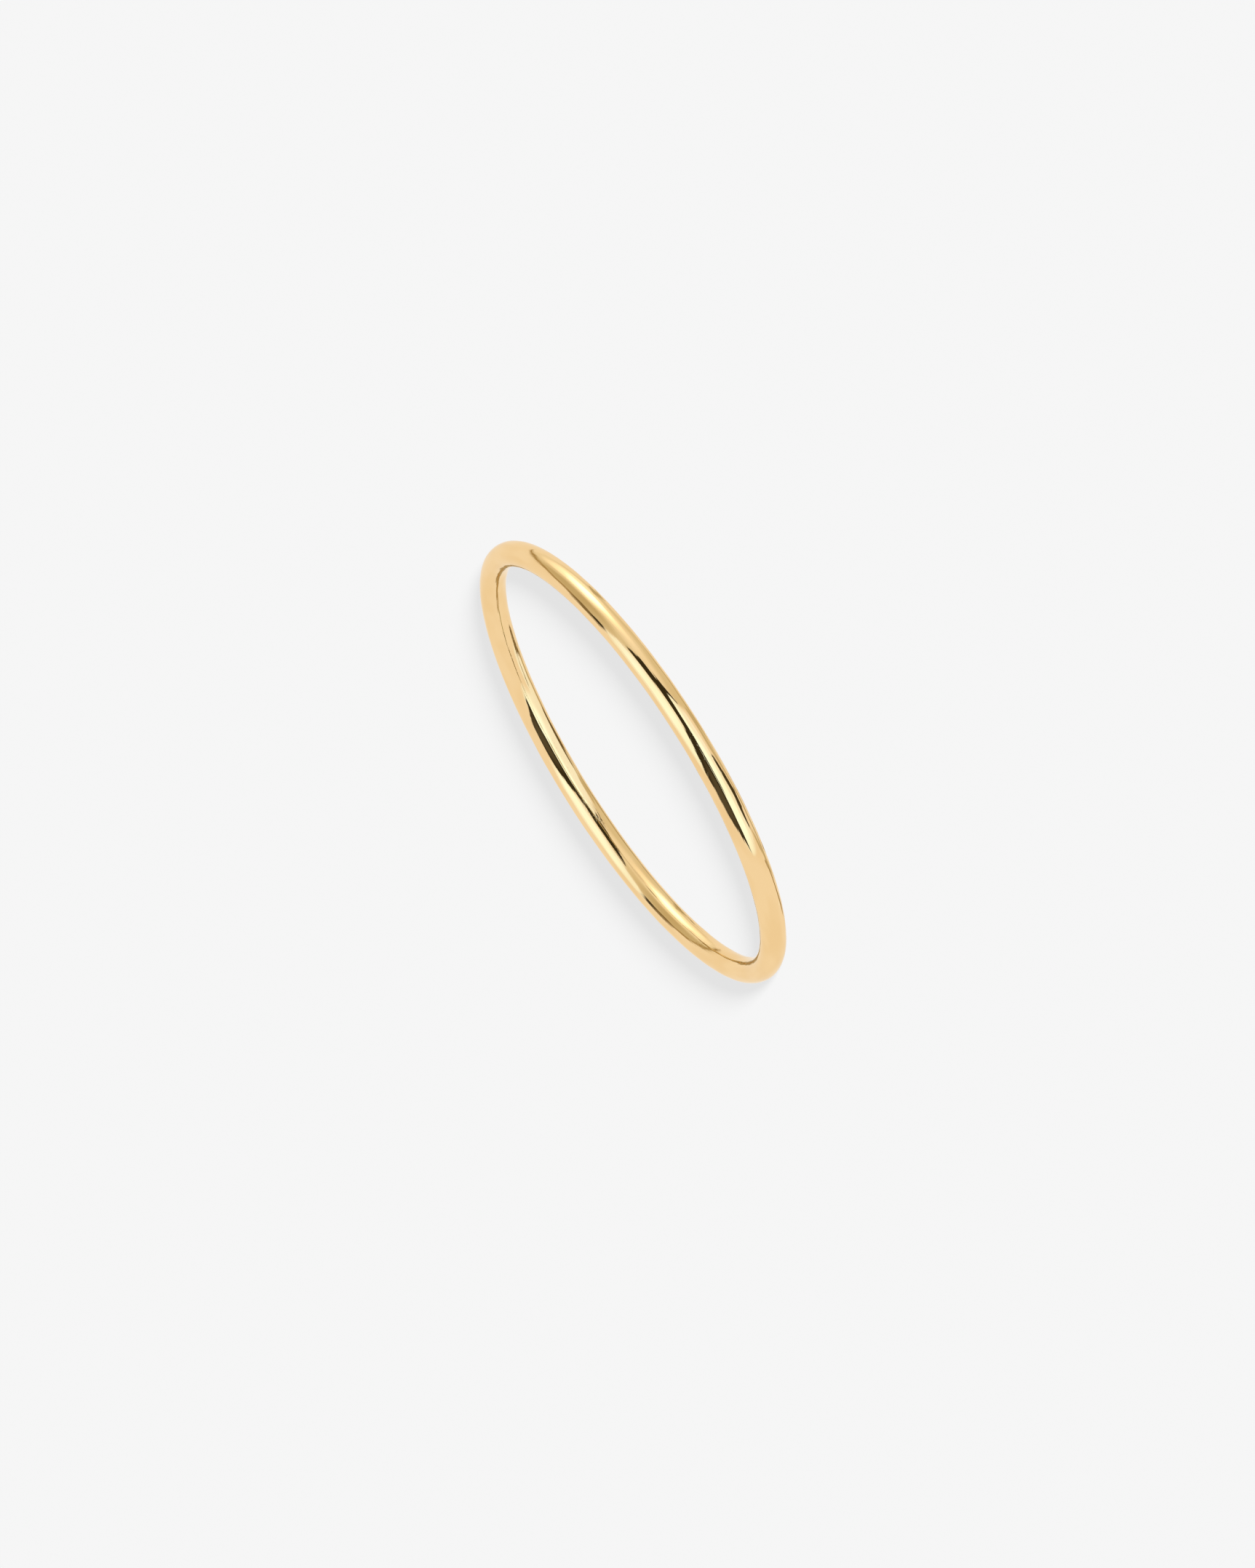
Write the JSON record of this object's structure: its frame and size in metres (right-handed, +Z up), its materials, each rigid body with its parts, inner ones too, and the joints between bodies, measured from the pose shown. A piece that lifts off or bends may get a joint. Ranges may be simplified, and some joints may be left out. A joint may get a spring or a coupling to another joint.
{
  "type": "stackable ring",
  "caption": "Plain thin finger ring of polished round gold wire, to be worn alone or stacked.",
  "frame": {"origin": "on the finger axis, at the height of the surface that the ring lies on", "axes": "+Z up, along the finger axis; +X and +Y in the plane of the hoop, which is round"},
  "size_m": [0.0194, 0.0194, 0.001],
  "materials": {
    "polished_gold": "polished"
  },
  "bodies": {
    "root": {"band": "polished_gold"}
  },
  "joints": []
}
